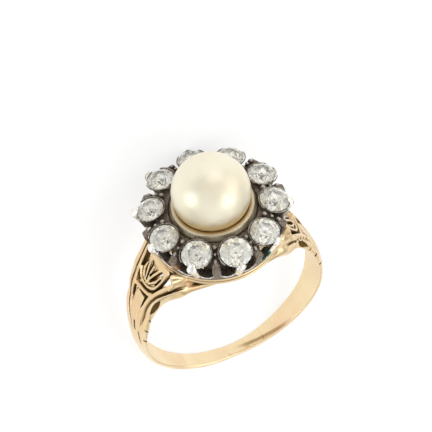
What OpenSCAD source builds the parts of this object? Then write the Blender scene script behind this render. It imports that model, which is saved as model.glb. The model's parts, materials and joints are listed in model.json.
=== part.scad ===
/* [Finger hole and shank] */
// Inside diameter of the ring
finger_d = 17; // [16.4:0.2:17.6]
// Thickness of the shank at the back
back_t = 0.75; // [0.65:0.05:0.9]
// Width of the shank at the back
back_w = 1.05; // [0.9:0.05:1.3]

/* [Head] */
// Height of the stones' plane above the middle of the finger hole
head_h = 13; // [12.8:0.1:13.4]
// Angle that the cluster is turned on the shank
cluster_turn = -4; // [-8:1:8]
// Radius of the gold gallery plate
plate_r = 5.95; // [5.8:0.05:6.1]

/* [Pearl and cup] */
// Diameter of the pearl
pearl_d = 7.1; // [6.9:0.1:7.2]
// Height of the pearl's middle above the stones' plane
pearl_h = 1.95; // [1.8:0.05:2.2]
// Outside radius of the cup
cup_r = 3.95; // [3.9:0.05:4]

/* [Stones] */
// Radius of the circle that the stones' middles follow
stone_circle_r = 5.48; // [5.46:0.02:5.54]
// Outward tilt of each stone
stone_tilt = 13; // [10:1:16]
// Clearance between metal and stone
stone_gap = 0.04; // [0.03:0.01:0.06]

/* [Claws and scallops] */
// Radius of a claw's rounded tip
claw_r = 0.46; // [0.4:0.02:0.5]
// Width of each U-shaped cut
scallop_w = 1.35; // [1.2:0.05:1.4]

/* [Hidden] */
stone_count = 10;
stone_step = 360 / stone_count;
$fn = 96;

// Colours
cream = [0.95, 0.90, 0.78];
khaki = [0.60, 0.54, 0.42];
dark_silver = [0.42, 0.40, 0.41];
rosy_gold = [0.86, 0.68, 0.42];
ice = [0.93, 0.95, 0.94];

// Finger hole and plate heights, measured from the middle of the finger hole
bore_r = finger_d / 2;
plate_top = head_h - 3;
plate_bottom = plate_top - 0.65;
joint_gap = 0.02;

// Stones, from the one at the right round to the back. None is set quite evenly, so a row
// has the stone's diameter, how far it lies outside the circle, how far it is turned off
// its even place, and how far its claw's tip lies outside the claws' circle
DIAMETER = 0;
OUT = 1;
TURN = 2;
CLAW_OUT = 3;
stones = [
    [2.65, -0.06, 1, 0.06],
    [2.5, -0.1, -1.5, -0.3],
    [2.5, -0.04, 0, -0.38],
    [2.5, 0.02, 0, -0.12],
    [2.5, 0.14, -0.5, 0.16],
    [2.45, 0.06, -1.5, 0.22],
    [2.6, -0.06, -1, 0],
    [2.7, -0.02, 0, 0.15],
    [2.85, 0.12, 0.5, 0.22],
    [2.65, 0.04, -1, 0.05]
];
first_stone_angle = cluster_turn - stone_step / 2;

function diamond_name(i) = str("diamond_", i < 10 ? "0" : "", i);
function stone_d(i) = stones[i - 1][DIAMETER];
function stone_reach(i) = stone_circle_r + stones[i - 1][OUT];
function even_angle(i) = first_stone_angle + (i - 1) * stone_step;
function stone_angle(i) = even_angle(i) + stones[i - 1][TURN];

// Proportions of an old-cut stone, as shares of its radius
table_share = 0.52;
star_share = 0.76;
crown_share = 0.34;
girdle_share = 0.05;
pavilion_share = 0.88;
culet_share = 0.1;
lower_share = 0.55;

// Claw tips
claw_circle_r = 6.8;
claw_z = head_h - 0.42;
function claw_reach(i) = claw_circle_r + stones[i - 1][CLAW_OUT];

// Shank and shoulders: angle from the back, half width, thickness over the finger hole, and
// roundness of the section, 1 for half an ellipse, less for a box and more for a lens
ANGLE = 0;
HALF_W = 1;
THICK = 2;
ROUND = 3;
sections = [
    [0, back_w / 2, back_t, 0.75],
    [30, 0.68, 0.75, 0.75],
    [45, 0.9, 0.74, 0.85],
    [60, 1.22, 0.7, 1.05],
    [75, 1.5, 0.66, 1.25],
    [90, 1.8, 0.64, 1.3],
    [105, 2.08, 0.66, 1.15],
    [115, 2.2, 0.74, 0.9],
    [122, 2.35, 0.86, 0.75],
    [128, 2.5, 1.02, 0.65],
    [134, 2.8, 1.3, 0.6],
    [141, 3.4, 1.8, 0.55],
    [147, 3.95, 2.33, 0.5],
    [152, 4.2, 2.65, 0.5],
    [180, 4.2, 0.9, 0.45]
];
edge_t = 0.12;
section_step = 6;
section_corners = 12;
wall_overlap = 0.6;

function across(angle, column) = lookup(angle, [for (row = sections) [row[ANGLE], row[column]]]);
function rounded(value, power) = sign(value) * pow(abs(value), power);

// A point of the section at an angle from the back, u from 0 at the +Y edge to 180 at the -Y edge
function band_point(angle, u) =
    let (side = abs(angle),
         power = across(side, ROUND),
         r = bore_r + edge_t + (across(side, THICK) - edge_t) * rounded(sin(u), power),
         y = across(side, HALF_W) * rounded(cos(u), power))
    [r * sin(angle), y, -r * cos(angle)];

function inner_point(angle, side) =
    let (r = bore_r - wall_overlap)
    [r * sin(angle), side * across(abs(angle), HALF_W), -r * cos(angle)];

function band_ring(angle) = concat(
    [inner_point(angle, 1)],
    [for (i = [0:section_corners]) band_point(angle, i * 180 / section_corners)],
    [inner_point(angle, -1)]);

// Closed band round the finger hole, before the hole is bored
module band() {
    rings = [for (angle = [-180:section_step:180 - section_step]) band_ring(angle)];
    n = len(rings[0]);
    count = len(rings);
    points = [for (ring = rings) each ring];
    faces = [for (i = [0:count - 1]) for (j = [0:n - 1])
        let (a = i * n + j, b = i * n + (j + 1) % n,
             c = ((i + 1) % count) * n + (j + 1) % n, d = ((i + 1) % count) * n + j)
        each [[a, b, c], [a, c, d]]];
    polyhedron(points, faces);
}

// The carved face of a shoulder: local Z out of the metal, local Y up the face, local X the ring's Y
face_lean = 66.3;
face_h = 9.15;
module on_face(side) {
    multmatrix([
        [0, -side * cos(face_lean), side * sin(face_lean), side * sin(face_lean) * face_h],
        [side, 0, 0, 0],
        [0, sin(face_lean), cos(face_lean), cos(face_lean) * face_h],
        [0, 0, 0, 1]]) children();
}

// Height up the face and half width between the rails there
rail_line = [[0.2, 0.75], [1.1, 1.02], [2, 1.3], [2.8, 1.55],
             [3.6, 1.82], [4.5, 2.2], [5.2, 2.55], [5.9, 3]];
palmette_line = [[2.1, 0.45], [2.35, 0.88], [2.8, 1.12], [3.4, 1.3],
                 [4.2, 1.42], [5, 1.7], [5.6, 2.25]];
crescent_foot = 2;

// Middle lines of the slots between the palmette's rays, from foot to head
ray_lines = [[[0.26, 2.88], [0.5, 4.75]], [[0.74, 2.98], [1.08, 4.85]]];
ray_foot_w = 0.14;
ray_head_w = 0.22;

// Outlines of the slit beside the tongue and of the small hole above the cross-bar
tongue_slit = [[0.62, 0.3], [0.66, 0.3], [0.95, 1.15], [0.5, 1.15]];
bar_hole = [[0.95, 1.55], [1.16, 1.65], [1.38, 2.3], [1.05, 2.02]];

// How deep a pierced place is cut, and a length beyond the whole ring
cut_depth = 4;
beyond = 30;

module both_ways() {
    children();
    mirror([1, 0, 0]) children();
}

function flipped(line) = [for (p = line) [p[1], p[0]]];
function reversed(line) = [for (i = [len(line) - 1:-1:0]) line[i]];
function above(line, low) = [for (p = line) if (p[0] >= low) p];

// Pierced places of one half of a shoulder, drawn flat
module crescent() {
    polygon(concat(flipped(above(rail_line, crescent_foot)), reversed(flipped(palmette_line))));
}

module ray_slot(line) {
    foot = [ray_foot_w / 2, 0];
    head = [ray_head_w / 2, 0];
    polygon([line[0] - foot, line[0] + foot, line[1] + head, line[1] - head]);
}

// Narrow groove that parts each rail in two: height up the face and distance off its middle
groove_line = [[-1.2, 1.4], [0, 1.38], [2, 1.76], [3.6, 2.16],
               [4.5, 2.46], [5.2, 2.9], [6, 3.35]];
module rail_groove() {
    groove_w = 0.2;
    inner = flipped(groove_line);
    outer = [for (p = inner) p + [groove_w, 0]];
    polygon(concat(inner, reversed(outer)));
}

// Cuts for one shoulder: pierced places, rail grooves, and the hollow behind the thin web
module shoulder_cuts(side) {
    web_t = 0.75;
    groove_depth = 0.3;
    hollow_foot = 3.4;
    hollow_end = [7.2, 3.3];
    hollow = concat(above(rail_line, hollow_foot), [hollow_end]);
    on_face(side) {
        translate([0, 0, -cut_depth]) linear_extrude(2 * cut_depth) both_ways() {
            crescent();
            for (line = ray_lines) ray_slot(line);
            polygon(tongue_slit);
            polygon(bar_hole);
        }
        translate([0, 0, -groove_depth]) linear_extrude(cut_depth) both_ways() rail_groove();
        translate([0, 0, -cut_depth - web_t]) linear_extrude(cut_depth)
            polygon(concat(flipped(hollow), reversed([for (p = hollow) [-p[1], p[0]]])));
    }
}

// Places children on one edge of the band, at an angle from the back: local Z out of the
// finger hole, local Y across the band and away from its middle, local X along it
module on_edge(side, end, angle) {
    rotate([0, side * (180 - angle), 0])
        translate([0, end * across(angle, HALF_W), bore_r]) mirror([0, end < 0 ? 1 : 0, 0]) children();
}

// Almond leaf sunk in the slope of a rail, with the inner edge nicked below it
module edge_carving(side, end) {
    leaf_angle = 126;
    leaf_in = 0.3;
    leaf_up = 0.55;
    leaf_half_l = 0.75;
    leaf_half_w = 0.25;
    leaf_depth = 0.2;
    leaf_lean = 50;
    leaf_h = 2;
    leaf_r = (leaf_half_l ^ 2 + leaf_half_w ^ 2) / (2 * leaf_half_w);
    nick_angles = [97, 105, 113];
    nick_w = 0.14;
    nick_depth = 0.16;
    nick_h = 1.5;
    on_edge(side, end, leaf_angle) translate([0, -leaf_in, leaf_up]) rotate([-leaf_lean, 0, 0])
        translate([0, 0, -leaf_depth]) intersection_for (s = [-1, 1])
            translate([0, s * (leaf_r - leaf_half_w), 0]) cylinder(r = leaf_r, h = leaf_h);
    for (angle = nick_angles) on_edge(side, end, angle)
        translate([-nick_w / 2, -nick_depth, -nick_h / 2]) cube([nick_w, 1, nick_h]);
}

// Open space under the gallery plate, between the ends of the shoulders
module under_plate() {
    arch = [[4.5, 7.1], [3.8, 8.3], [2.9, 9], [2, plate_bottom]];
    other_half = [for (p = reversed(arch)) [-p[0], p[1]]];
    rotate([90, 0, 0]) linear_extrude(beyond, center = true)
        polygon(concat([[0, 0]], arch, other_half));
}

module gallery_plate() {
    groove_w = 0.13;
    groove_z = (plate_bottom + plate_top - groove_w) / 2;
    difference() {
        translate([0, 0, plate_bottom]) cylinder(r = plate_r, h = plate_top - plate_bottom);
        difference() {
            translate([0, 0, groove_z]) cylinder(r = plate_r + groove_w, h = groove_w);
            cylinder(r = plate_r - groove_w, h = plate_top);
        }
    }
}

module culet_holes() {
    hole_r = 0.5;
    hole_circle_r = 4.75;
    for (i = [1:stone_count]) rotate([0, 0, stone_angle(i)])
        translate([hole_circle_r, 0, 0]) cylinder(r = hole_r, h = head_h, $fn = 24);
}

module gold_mount_upright() {
    difference() {
        union() {
            difference() {
                band();
                translate([-beyond / 2, -beyond / 2, plate_top]) cube(beyond);
                for (side = [-1, 1]) {
                    shoulder_cuts(side);
                    for (end = [-1, 1]) edge_carving(side, end);
                }
                under_plate();
            }
            gallery_plate();
        }
        rotate([90, 0, 0]) cylinder(r = bore_r, h = beyond, center = true);
        culet_holes();
    }
}

// Places children at a stone, local Z along its axis and local X outward
module at_stone(i) {
    rotate([0, 0, stone_angle(i)]) translate([stone_reach(i), 0, head_h])
        rotate([0, stone_tilt, 0]) children();
}

// Space that a stone takes, with the clearance round it and room for the crown's corners
module stone_space(i) {
    facet_room = 0.12;
    r = stone_d(i) / 2 + stone_gap;
    girdle = girdle_share * r;
    crown = crown_share * r + stone_gap;
    pavilion = pavilion_share * r + girdle + stone_gap;
    at_stone(i) rotate_extrude() polygon([
        [0, -pavilion], [r * culet_share, -pavilion], [r, -girdle],
        [r, 0], [r * (table_share + facet_room), crown], [0, crown]]);
}

module stone_seat(i) {
    r = stone_d(i) / 2 + stone_gap;
    at_stone(i) cylinder(r = r, h = 2);
}

// Two U-shaped cuts through the wall, one on each side of a claw
module scallops(i) {
    cut_angle = 9.2;
    bottom = plate_top + 0.38;
    start = stone_circle_r - 0.4;
    reach = 4;
    for (s = [-1, 1]) rotate([0, 0, even_angle(i) + s * cut_angle])
        translate([start, 0, bottom + scallop_w / 2]) {
            rotate([0, 90, 0]) cylinder(d = scallop_w, h = reach, $fn = 24);
            translate([0, -scallop_w / 2, 0]) cube([reach, scallop_w, reach]);
        }
}

// A claw leans out from the plate's edge and ends in a round tip over the stone's edge
module claw(i) {
    foot_r = 0.3;
    foot_reach = plate_r - foot_r;
    rise = claw_z - plate_top;
    run = claw_reach(i) - foot_reach;
    leg = norm([run, rise]);
    rotate([0, 0, stone_angle(i)]) translate([claw_reach(i), 0, claw_z]) {
        sphere(r = claw_r, $fn = 24);
        rotate([0, atan(run / rise), 0]) translate([0, 0, -leg])
            cylinder(r1 = foot_r, r2 = claw_r, h = leg, $fn = 24);
    }
}

// The wall's outline: up the outside, over the tops of the pillars and in to the cup
module silver_setting_upright() {
    base = plate_top + joint_gap;
    inner_r = cup_r + 0.04;
    wall_top = [6.68, head_h - 0.95];
    pillar_top = [6.1, head_h - 0.4];
    inner_top = [inner_r, head_h + 0.1];
    difference() {
        union() {
            difference() {
                rotate_extrude() polygon([
                    [inner_r, base], [plate_r - joint_gap, base], wall_top, pillar_top, inner_top]);
                for (i = [1:stone_count]) {
                    stone_seat(i);
                    scallops(i);
                }
            }
            for (i = [1:stone_count]) claw(i);
        }
        for (i = [1:stone_count]) stone_space(i);
        culet_holes();
        translate([-beyond / 2, -beyond / 2, base - beyond]) cube(beyond);
    }
}

module pearl_cup_upright() {
    base = plate_top + joint_gap;
    lip_z = head_h + 0.5;
    peg_r = 0.4;
    peg_top = head_h + 1.2;
    cup_gap = 0.05;
    difference() {
        translate([0, 0, base]) cylinder(r = cup_r, h = lip_z - base);
        translate([0, 0, head_h + pearl_h]) sphere(r = pearl_d / 2 + cup_gap);
    }
    translate([0, 0, base]) cylinder(r = peg_r, h = peg_top - base);
}

module pearl_upright() {
    hole_r = 0.45;
    hole_top = head_h + 1.3;
    difference() {
        translate([0, 0, head_h + pearl_h]) sphere(r = pearl_d / 2);
        cylinder(r = hole_r, h = hole_top);
    }
}

// A cut stone: a round of corners at a height, each turned by a share of a step
function corners(r, z, count, turn) = [for (j = [0:count - 1])
    [r * cos((j + turn) * 360 / count), r * sin((j + turn) * 360 / count), z]];

module cut_stone(d) {
    r = d / 2;
    n = 8;
    half = 180 / n;
    table_r = table_share * r;
    crown_z = crown_share * r;
    girdle_z = -girdle_share * r;
    star_r = star_share * r;
    star_z = crown_z * (r - star_r * cos(half)) / (r - table_r);
    culet_r = culet_share * r;
    culet_z = -(girdle_share + pavilion_share) * r;
    lower_r = lower_share * r;
    lower_z = girdle_z + (culet_z - girdle_z) * (r - lower_r * cos(half)) / (r - culet_r);
    points = concat(
        corners(table_r, crown_z, n, 0), corners(star_r, star_z, n, 0.5),
        corners(r, 0, 2 * n, 0), corners(r, girdle_z, 2 * n, 0),
        corners(lower_r, lower_z, n, 0.5), corners(culet_r, culet_z, n, 0));
    star = n;
    upper = 2 * n;
    under = 4 * n;
    lower = 6 * n;
    culet = 7 * n;
    faces = concat(
        [[for (j = [n - 1:-1:0]) j]],
        [for (j = [0:n - 1]) let (k = (j + 1) % n, before = (j + n - 1) % n) each [
            [j, k, star + j],
            [j, star + j, upper + 2 * j, star + before],
            [star + j, upper + 2 * j + 1, upper + 2 * j],
            [star + j, upper + 2 * k, upper + 2 * j + 1],
            [lower + j, under + 2 * j, under + 2 * j + 1],
            [lower + j, under + 2 * j + 1, under + 2 * k],
            [culet + j, lower + before, under + 2 * j, lower + j],
            [culet + j, lower + j, culet + k]]],
        [for (j = [0:2 * n - 1]) let (k = (j + 1) % (2 * n))
            [upper + j, upper + k, under + k, under + j]],
        [[for (j = [0:n - 1]) culet + j]]);
    polyhedron(points, faces);
}

module diamond_upright(i) {
    at_stone(i) cut_stone(stone_d(i));
}

// Rest pose: the plane through one claw and a short stretch of the shank's edge is the floor
rest_claw = 4;
rest_angle = [-12, -6];
rest_u = 30;
rest_turn = stone_angle(rest_claw);
tip = [claw_reach(rest_claw) * cos(rest_turn), claw_reach(rest_claw) * sin(rest_turn), claw_z];
edge = [for (angle = rest_angle) band_point(angle, rest_u)];
function unit(v) = v / norm(v);
function rest_normal(down, rounds) = rounds == 0 ? down
    : let (touch = tip + claw_r * down, n = unit(cross(edge[1] - edge[0], touch - edge[0])))
      rest_normal(n[1] < 0 ? -n : n, rounds - 1);
down = rest_normal([0, 1, 0], 6);
floor_h = down * edge[0];
row_x = unit(cross([0, 0, 1], down));
row_y = cross(-down, row_x);
pearl_reach = pearl_d / 2 - row_y * [0, 0, head_h + pearl_h];
back_reach = max([for (u = [0:5:180]) row_y * band_point(0, u)]);
middle_y = (back_reach - pearl_reach) / 2;

module resting() {
    multmatrix([
        [row_x[0], row_x[1], row_x[2], 0],
        [row_y[0], row_y[1], row_y[2], -middle_y],
        [-down[0], -down[1], -down[2], floor_h],
        [0, 0, 0, 1]]) children();
}

module pearl() { color(cream) resting() pearl_upright(); }
module pearl_cup() { color(khaki) resting() pearl_cup_upright(); }
module silver_setting() { color(dark_silver) resting() silver_setting_upright(); }
module gold_mount() { color(rosy_gold) resting() gold_mount_upright(); }
module diamond(i) { color(ice) resting() diamond_upright(i); }

pearl();
pearl_cup();
silver_setting();
gold_mount();
for (i = [1:stone_count]) diamond(i);
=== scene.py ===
"""Dresses a packed cluster ring: a pearl in an engraved collar, ten old-cut stones, a silver
head and a carved gold mount, lying on its side on a pale floor."""
import json
import math

import bpy
import numpy as np
from bpy.props import FloatProperty, FloatVectorProperty, IntProperty, PointerProperty
from mathutils import Matrix, Vector


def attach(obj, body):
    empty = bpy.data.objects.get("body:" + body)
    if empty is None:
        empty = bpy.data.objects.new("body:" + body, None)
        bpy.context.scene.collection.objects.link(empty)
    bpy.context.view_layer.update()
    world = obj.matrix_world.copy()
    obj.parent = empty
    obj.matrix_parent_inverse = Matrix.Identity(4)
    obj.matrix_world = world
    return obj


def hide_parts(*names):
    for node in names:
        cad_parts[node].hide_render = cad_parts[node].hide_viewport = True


bl_info = {
    "name": "Cluster Ring",
    "version": (1, 0, 0),
    "blender": (4, 5, 0),
    "location": "3D View > Sidebar > Cluster Ring",
    "description": "Builds the looks of an antique pearl and diamond cluster ring",
    "category": "Object",
}

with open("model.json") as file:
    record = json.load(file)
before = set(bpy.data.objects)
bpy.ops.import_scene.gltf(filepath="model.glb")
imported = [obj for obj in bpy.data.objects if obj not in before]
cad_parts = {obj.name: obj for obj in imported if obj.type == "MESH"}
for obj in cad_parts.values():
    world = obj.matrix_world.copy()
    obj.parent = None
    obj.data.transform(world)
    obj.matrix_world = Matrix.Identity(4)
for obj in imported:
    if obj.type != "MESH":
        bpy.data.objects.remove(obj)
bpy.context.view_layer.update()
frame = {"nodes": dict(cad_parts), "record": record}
BODY = "root"
MM = 0.001
STONE_COUNT = 10
STONE_NODES = ["diamond_%02d" % number for number in range(1, STONE_COUNT + 1)]

# The ring's own frame, in millimetres: X across the shoulders, Y along the finger, Z out of
# the head. The record's bore gives its place, with the axis pointing along -Y.
BORE = next(mount for mount in frame["record"]["mounts"] if mount["name"] == "finger_hole")
RING_Y = -Vector(BORE["axis"]).normalized()
RING_Z = RING_Y.cross(Vector((1, 0, 0))).normalized()
RING_X = RING_Y.cross(RING_Z)
RING = Matrix.Translation(Vector(BORE["pos_m"])) @ (
    Matrix((RING_X, RING_Y, RING_Z)).transposed().to_4x4() @ Matrix.Scale(MM, 4))
BORE_R = BORE["dims"]["r_mm"]

# Heights and radii of the gallery plate, the head, the collar and the pearl, and depth and
# half height of the groove round the plate's rim
HEAD_H = 13.0
PLATE_TOP = HEAD_H - 3
PLATE_BOTTOM = PLATE_TOP - 0.65
PLATE_R = 5.95
RIM_GROOVE = (0.13, 0.07)
JOINT_GAP = 0.02
HEAD_BASE = PLATE_TOP + JOINT_GAP
CUP_R = 3.95
CUP_LIP = HEAD_H + 0.5
PEARL_R = 3.55
PEARL_Z = HEAD_H + 1.95
CULET_HOLE_R = 0.5
CULET_CIRCLE_R = 4.75

# Outline of the head's wall and of the collar's outer side, as radius and height. Each cut
# in the collar crosses some of its points, with these depths one after another round it
HEAD_OUTLINE = [
    (CUP_R + 0.04, HEAD_BASE), (PLATE_R - JOINT_GAP, HEAD_BASE), (6.6, HEAD_H - 0.98),
    (6.1, HEAD_H - 0.45), (CUP_R + 0.04, HEAD_H - 0.15)]
CUP_OUTLINE = [
    (0.0, HEAD_BASE), (CUP_R, HEAD_BASE), (CUP_R, HEAD_H - 0.6), (CUP_R, HEAD_H - 0.2),
    (CUP_R - 0.08, HEAD_H - 0.02), (CUP_R - 0.2, HEAD_H + 0.16), (CUP_R - 0.24, CUP_LIP - 0.12),
    (CUP_R - 0.32, CUP_LIP - 0.03), (CUP_R - 0.44, CUP_LIP - 0.01)]
CUT_POINTS = range(3, 9)
CUT_DEPTHS = (0.035, 0.015, 0, 0, 0, 0)

# Stones: diameter, how far out of the circle, degrees turned, how far the claw lies out
STONE_CIRCLE_R = 5.48
STONE_TILT = math.radians(13)
STONE_GAP = 0.04
FIRST_STONE = -22.0
STONE_STEP = 360 / STONE_COUNT
STONES = np.array([
    (2.65, -0.06, 1, 0.06), (2.5, -0.1, -1.5, -0.3), (2.5, -0.04, 0, -0.38), (2.5, 0.02, 0, -0.12),
    (2.5, 0.14, -0.5, 0.16), (2.45, 0.06, -1.5, 0.22), (2.6, -0.06, -1, 0), (2.7, -0.02, 0, 0.15),
    (2.85, 0.12, 0.5, 0.22), (2.65, 0.04, -1, 0.05)])

# Lip round each stone's seat: how far out and down it lies, its radius, and where it ends
LIP = (0.03, 0.04, 0.07)
LIP_END_R = 6.5

# Claws: places and radii of the foot, the knee and the tip, their thickness as a share of
# their width, and how rubbed each is, with the far claws kept dull as painted shade
CLAW_Z = HEAD_H - 0.42
CLAW_FOOT = ((PLATE_R - 0.36, 0, HEAD_BASE + 0.1), 0.28)
CLAW_KNEE = ((6.66, 0, CLAW_Z - 0.1), 0.38)
CLAW_TIP = ((6.36, 0, CLAW_Z + 0.28), 0.33)
CLAW_FLAT = 0.86
CLAW_SHINE_AND_SHADE = np.array([0.8, 0.4, 0.25, 0.25, 0.35, 0.7, 1, 1, 1, 1])

# U-shaped cuts on both sides of a claw: width, degrees off the claw, height of the middle of
# the round end, and how far in they reach
CUT_W = 1.28
CUT_TURN = 8.8
CUT_Z = PLATE_TOP + 0.38 + CUT_W / 2
CUT_IN = STONE_CIRCLE_R - 0.4

# Grains on each pillar: distance out, place aside and height of both ends, and radius
GRAINS = [((6.3, 0, 11.9), (5.9, 0, 12.62), 0.25), ((5.2, 0, 12.3), (5.35, 0, 12.9), 0.17),
          ((4.55, 0, 12.6), (4.7, 0, 13.05), 0.24)]

# Half of the room that a stone fills, as shares of its radius
STONE_SPACE = [(0, -0.98), (0.1, -0.98), (1, -0.05), (1, 0.0), (0.66, 0.39), (0, 0.39)]

# A green spot in one of the cuts, and how far it reaches
GREEN_SPOT = (2.5, -5.45, 10.4)
GREEN_REACH = (0.35, 0.9)

# Copper-coloured patches, where the solder shows: x, y, z and radius
COPPER_SPOTS = [(-5.6, -2.1, 9.9, 0.9), (-5.3, -3.55, 11.35, 0.75), (-4.15, -3.9, 8.8, 0.85)]

# Shank: angle from the back, half width, thickness, and how pointed the section is: 1 is half
# of an ellipse, and less is squarer
SECTIONS = [
    (0, 0.525, 0.7, 0.8), (15, 0.6, 0.73, 0.8), (30, 0.68, 0.75, 0.75), (45, 0.9, 0.74, 0.85),
    (60, 1.22, 0.7, 1.05), (75, 1.5, 0.66, 1.25), (90, 1.8, 0.64, 1.3), (105, 2.08, 0.66, 1.15),
    (115, 2.2, 0.74, 0.9), (122, 2.35, 0.86, 0.75), (128, 2.5, 1.02, 0.65), (134, 2.8, 1.3, 0.6),
    (141, 3.4, 1.8, 0.55), (147, 3.95, 2.33, 0.5), (152, 4.2, 2.65, 0.5), (180, 4.2, 0.9, 0.45)]

# Thickness of the band at its edges, and the angles where its section grows squarer and back
EDGE_T = 0.12
SQUARE_POWER = 1.5
SQUARE_FROM = (112, 122)
SQUARE_TO = (130, 140)

# What each edge of the band has beyond the even half width, by angle from the back, left
# shoulder at minus: the ring is worn and bent a little
FAR_EDGE = [
    (-180, -0.8), (-152, -0.8), (-147, -0.55), (-141, -0.15), (-134, 0.3), (-128, 0.46),
    (-122, 0.41), (-105, 0.22), (-90, 0.15), (-70, 0), (-50, -0.15), (-25, -0.08), (0, 0.01),
    (10, 0.04), (20, 0.13), (30, 0.24), (42, 0.25), (55, 0.08), (68, -0.02), (80, 0), (90, -0.06),
    (115, -0.08), (128, 0), (180, 0)]
NEAR_EDGE = [
    (-180, -0.4), (-152, -0.3), (-146, -0.1), (-134, 0.05), (-122, 0.12), (-105, 0.22),
    (-90, 0.25), (-75, 0.26), (-60, 0.24), (-45, 0.24), (-30, 0.27), (-20, 0.28), (-10, 0.22),
    (0, 0.16), (10, 0.16), (30, 0.14), (60, 0.1), (75, 0.1), (90, 0.04), (115, -0.04), (128, 0),
    (180, 0)]

# Carved face of a shoulder: angle from the back and distance of its plane, then lines and
# outlines, as height up it and place across it, with the photo's near edge at minus
FACE_ANGLE = 113.7
FACE_H = 9.15
NEAR_RAIL = [
    (-2.4, -0.9), (-1, -0.85), (0.2, -0.98), (1.2, -1.18), (2.2, -1.45), (3, -1.83), (4, -2.35),
    (5.05, -2.92), (6.4, -3.75)]
NEAR_GROOVE = [
    (-2.4, -1.35), (-1, -1.48), (0.2, -1.5), (1.1, -1.55), (2, -1.74), (2.9, -2.1), (3.9, -2.66),
    (4.8, -3.15), (6.1, -4.0)]
FAR_RAIL = [
    (-2.4, 0.3), (-1.2, 0.6), (0, 1.05), (1, 1.32), (2, 1.46), (3, 1.6), (4.5, 1.68), (6.2, 1.7)]
FAR_GROOVE = [
    (-3.5, -0.5), (-2.9, -0.2), (-2.25, 0.12), (-1.75, 0.58), (-1.2, 1.0), (-0.65, 1.33),
    (0.1, 1.58), (1.1, 1.82), (2.7, 1.98), (4.5, 2.03), (6.2, 2.0)]
PALMETTE_RIM = [
    (6, -2.2), (5.5, -2.08), (4.7, -1.9), (3.9, -1.66), (3.25, -1.36), (2.85, -0.98),
    (2.55, -0.42), (2.42, 0.1), (2.4, 0.6), (2.56, 0.98), (2.9, 1.26), (3.4, 1.42)]
ABOVE_PALMETTE = [(6.6, 1.42), (6.6, -2.3)]

# Ridges left standing, the rim, the bar below it and the rays, with height and half width
RAISED = [
    (PALMETTE_RIM, 1, 0.2),
    ([(2.5, -1.4), (2.1, -0.9), (1.86, -0.2), (1.68, 0.5), (1.5, 1.15)], 1.1, 0.26),
    ([(2.75, 0.02), (4.8, -0.18)], 0.9, 0.17),
    ([(2.8, -0.1), (4.2, -0.58), (5.1, -1.05)], 0.9, 0.15),
    ([(2.9, -0.35), (3.9, -1.2), (4.9, -1.6)], 0.9, 0.15),
    ([(2.8, 0.25), (4.4, 0.5), (5.2, 0.55)], 0.9, 0.15)]

# Fine lines, the last one a pin's mark, with depth, half width, the strength of their brown with
# painted shade, and its half width
FINE_LINES = [
    ([(-2.5, -1.2), (-3.4, -1.36), (-4.1, -1.53)], 0.12, 0.14, 0.9, 0.16),
    ([(0.35, -0.78), (-0.8, -0.66)], 0.1, 0.16, 0.3, 0.14),
    ([(0.5, 0.84), (-0.4, 0.72), (-1.4, 0.4)], 0.1, 0.16, 0.3, 0.14),
    ([(-1.7, -0.46), (-2.6, -0.63)], 0.45, 0.15, 1, 0.18)]

# Piercings: slots between the rays with half width, and other openings
RAY_SLOTS = [
    ([(4.6, -1.66), (3.95, -1.46), (3.45, -1.18)], 0.09),
    ([(5.35, -1.52), (4.1, -0.88), (3.35, -0.48)], 0.13),
    ([(4.75, -0.62), (3.7, -0.12)], 0.08),
    ([(5.15, 0.22), (3.9, 0.16), (3.05, 0.1)], 0.1),
    ([(4.25, 0.74), (3.4, 0.8), (2.92, 0.56)], 0.13)]
OPENINGS = [
    [(5.5, -2.85), (5, -2.6), (4.1, -2.17), (3.3, -1.75), (2.85, -1.42), (2.55, -0.95),
     (2.3, -0.5), (2.42, -0.62), (2.7, -1.08), (3.15, -1.5), (3.9, -1.8), (4.7, -2.04),
     (5.3, -2.2), (5.6, -2.45)],
    [(5.6, 0.62), (5.0, 1.46), (3.9, 1.52), (3.35, 1.5), (3.6, 1.28), (4.1, 1.12), (4.6, 0.88)],
    [(1.95, -1.16), (1.62, -0.6), (1.1, -0.72), (0.3, -0.8), (0.9, -1.0)],
    [(1.38, 0.56), (1.3, 1.08), (0.5, 0.84)],
    [(2.62, 1.36), (2.25, 0.9), (1.8, 1.26)]]

# Punched dots, on the right shoulder only
STIPPLES = [
    (4.9, -3.02), (4.45, -2.72), (4.1, -2.82), (3.75, -2.45), (3.4, -2.55), (3.1, -2.15),
    (2.75, -2.2), (2.4, -1.84), (2.05, -1.9), (1.65, -1.6), (1.3, -1.62)]

# Depths of the carving, with the near groove worn on the right shoulder
GROUND_DEPTH = 0.5
PALMETTE_DEPTH = 0.21
GROOVE_DEPTH = 0.34
WORN_GROOVE_DEPTH = 0.12
DOT_DEPTH = 0.25

# Half of the hollow behind the carved face, as height and half width, then how far behind the
# face it starts and ends, and how deep the piercings are cut
HOLLOW_LINE = [(3.4, 1.74), (4.5, 2.2), (5.2, 2.55), (5.9, 3), (7.2, 3.3)]
HOLLOW_FROM = 0.75
HOLLOW_TO = 4.75
PIERCED_TO = 4.0

# Leaves and nicks in the sides of the shoulders, left at -1: angle from the back, sizes and
# places, a leaf's sides being arcs of one radius, and each nick's angle and half width
LEAF_ANGLE = {-1: 125.2, 1: 129.3}
LEAF_HALF_L = 1.1
LEAF_HALF_W = 0.23
LEAF_R = (LEAF_HALF_L ** 2 + LEAF_HALF_W ** 2) / (2 * LEAF_HALF_W)
LEAF_DEPTH = 0.2
LEAF_OUT = 0.44
LEAF_IN = 0.3
LEAF_SLANT = 0.28
LEAF_LEAN = math.radians(50)
NICK_DEPTH = 0.24
NICKS = {-1: ((94.2, 0.08), (104.3, 0.05), (113, 0.1)),
         1: ((98.7, 0.07), (109.1, 0.07), (117.9, 0.09))}

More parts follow.
